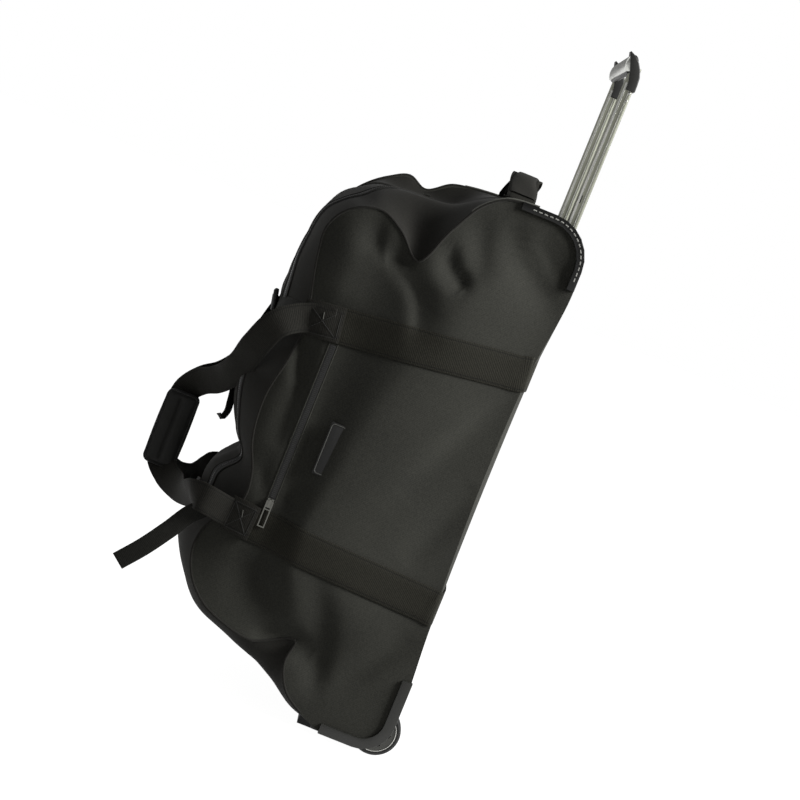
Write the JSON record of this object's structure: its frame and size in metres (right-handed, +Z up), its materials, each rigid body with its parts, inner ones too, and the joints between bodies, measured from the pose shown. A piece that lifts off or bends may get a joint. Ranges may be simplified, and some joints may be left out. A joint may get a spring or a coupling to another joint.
{
  "type": "rolling duffel bag",
  "caption": "Soft rolling duffel bag with a telescoping trolley handle, wheels in a moulded boot, webbing carry handles, a zipped lid and a zipped side pocket.",
  "frame": {"origin": "centre of the flat ground face of the foot at the front of the boot", "axes": "+Z up along the bag, towards the trolley grip; +X out of the stiff back, on the wheel side; -X out of the lid; Y across the bag, with the side pocket on the -Y side, called left"},
  "size_m": [0.492, 0.3922, 1.0308],
  "materials": {
    "fabric": "fine matte weave",
    "lining": "matte",
    "webbing": "ribbed weave, satin",
    "padding": "matte",
    "zip_tape": "matte, with a moulded coil",
    "boot_plastic": "fine grain satin",
    "trim_plastic": "satin",
    "board": "matte",
    "aluminium": "satin anodised",
    "silver_plastic": "glossy metallic coat",
    "rubber": "matte",
    "hub_plastic": "satin",
    "steel": "polished",
    "gunmetal": "satin"
  },
  "bodies": {
    "bag": {"back_panel": "fabric", "side_panel_left": "fabric", "side_panel_right": "fabric", "top_panel": "fabric", "lid_panel": "fabric", "lid_border_left": "fabric", "lid_border_right": "fabric", "bottom_panel": "fabric", "piping_left": "fabric", "piping_right": "fabric", "tube_lining": "lining", "girth_band_upper": "webbing", "girth_band_lower": "webbing", "carry_strap_left": "webbing", "carry_strap_right": "webbing", "compression_strap_upper": "webbing", "compression_strap_lower": "webbing", "grab_handle": "webbing", "handle_wrap": "padding", "badge_patch": "padding", "main_zip_tape": "zip_tape", "pocket_zip_tape": "zip_tape", "boot": "boot_plastic", "corner_guard_left": "boot_plastic", "corner_guard_right": "boot_plastic", "handle_cup": "boot_plastic", "frame_bracket_upper": "boot_plastic", "frame_bracket_lower": "boot_plastic", "compression_buckle_upper": "boot_plastic", "compression_buckle_lower": "boot_plastic", "top_corner_trim_left": "trim_plastic", "top_corner_trim_right": "trim_plastic", "base_board": "board", "outer_tube_left": "aluminium", "outer_tube_right": "aluminium", "front_foot": "rubber", "wheel_axle_left": "steel", "wheel_axle_right": "steel"},
    "trolley": {"inner_tube_left": "aluminium", "inner_tube_right": "aluminium", "tube_stud_left": "trim_plastic", "tube_stud_right": "trim_plastic", "grip_rivet_left": "steel", "grip_rivet_right": "steel", "grip_shell": "boot_plastic", "grip_insert": "silver_plastic"},
    "release_button": {"release_button": "trim_plastic"},
    "wheel_left": {"wheel_tyre_left": "rubber", "wheel_hub_left": "hub_plastic", "wheel_bearing_left": "steel"},
    "wheel_right": {"wheel_tyre_right": "rubber", "wheel_hub_right": "hub_plastic", "wheel_bearing_right": "steel"},
    "pocket_slider": {"pocket_slider": "gunmetal"},
    "pocket_pull": {"pocket_pull": "gunmetal"},
    "lid_left_slider": {"lid_left_slider": "gunmetal"},
    "lid_left_pull": {"lid_left_pull": "gunmetal"},
    "lid_right_slider": {"lid_right_slider": "gunmetal"},
    "lid_right_pull": {"lid_right_pull": "gunmetal"}
  },
  "joints": [
    {"name": "trolley_slide", "type": "slide", "parent": "bag", "child": "trolley", "axis": [0, 0, 1], "range_m": [-0.195, 0]},
    {"name": "button_press", "type": "slide", "parent": "trolley", "child": "release_button", "axis": [0, 0, -1], "range_m": [0, 0.005], "stiffness_N_per_m": 300, "springref_m": -0.004},
    {"name": "wheel_left_spin", "type": "hinge", "parent": "bag", "child": "wheel_left", "pos_m": [0.094, -0.161, 0.035], "axis": [0, 1, 0], "continuous": true},
    {"name": "wheel_right_spin", "type": "hinge", "parent": "bag", "child": "wheel_right", "pos_m": [0.094, 0.161, 0.035], "axis": [0, 1, 0], "continuous": true},
    {"name": "pocket_slider_slide", "type": "slide", "parent": "bag", "child": "pocket_slider", "axis": [0, 0, 1], "range_m": [0, 0.224]},
    {"name": "pocket_pull_swing", "type": "hinge", "parent": "pocket_slider", "child": "pocket_pull", "pos_m": [-0.158, -0.1946, 0.27869], "axis": [-1, 0, 0], "range_deg": [0, 150]},
    {"name": "lid_left_slider_slide", "type": "slide", "parent": "bag", "child": "lid_left_slider", "axis": [0, -1, 0], "range_m": [0, 0.13]},
    {"name": "lid_left_pull_swing", "type": "hinge", "parent": "lid_left_slider", "child": "lid_left_pull", "pos_m": [-0.11542, -0.0049, 0.74441], "axis": [-0.9938, 0, -0.1111], "range_deg": [0, 150]},
    {"name": "lid_right_slider_slide", "type": "slide", "parent": "bag", "child": "lid_right_slider", "axis": [0, 1, 0], "range_m": [0, 0.13]},
    {"name": "lid_right_pull_swing", "type": "hinge", "parent": "lid_right_slider", "child": "lid_right_pull", "pos_m": [-0.11542, 0.0049, 0.74441], "axis": [0.9938, 0, 0.1111], "range_deg": [0, 150]}
  ]
}
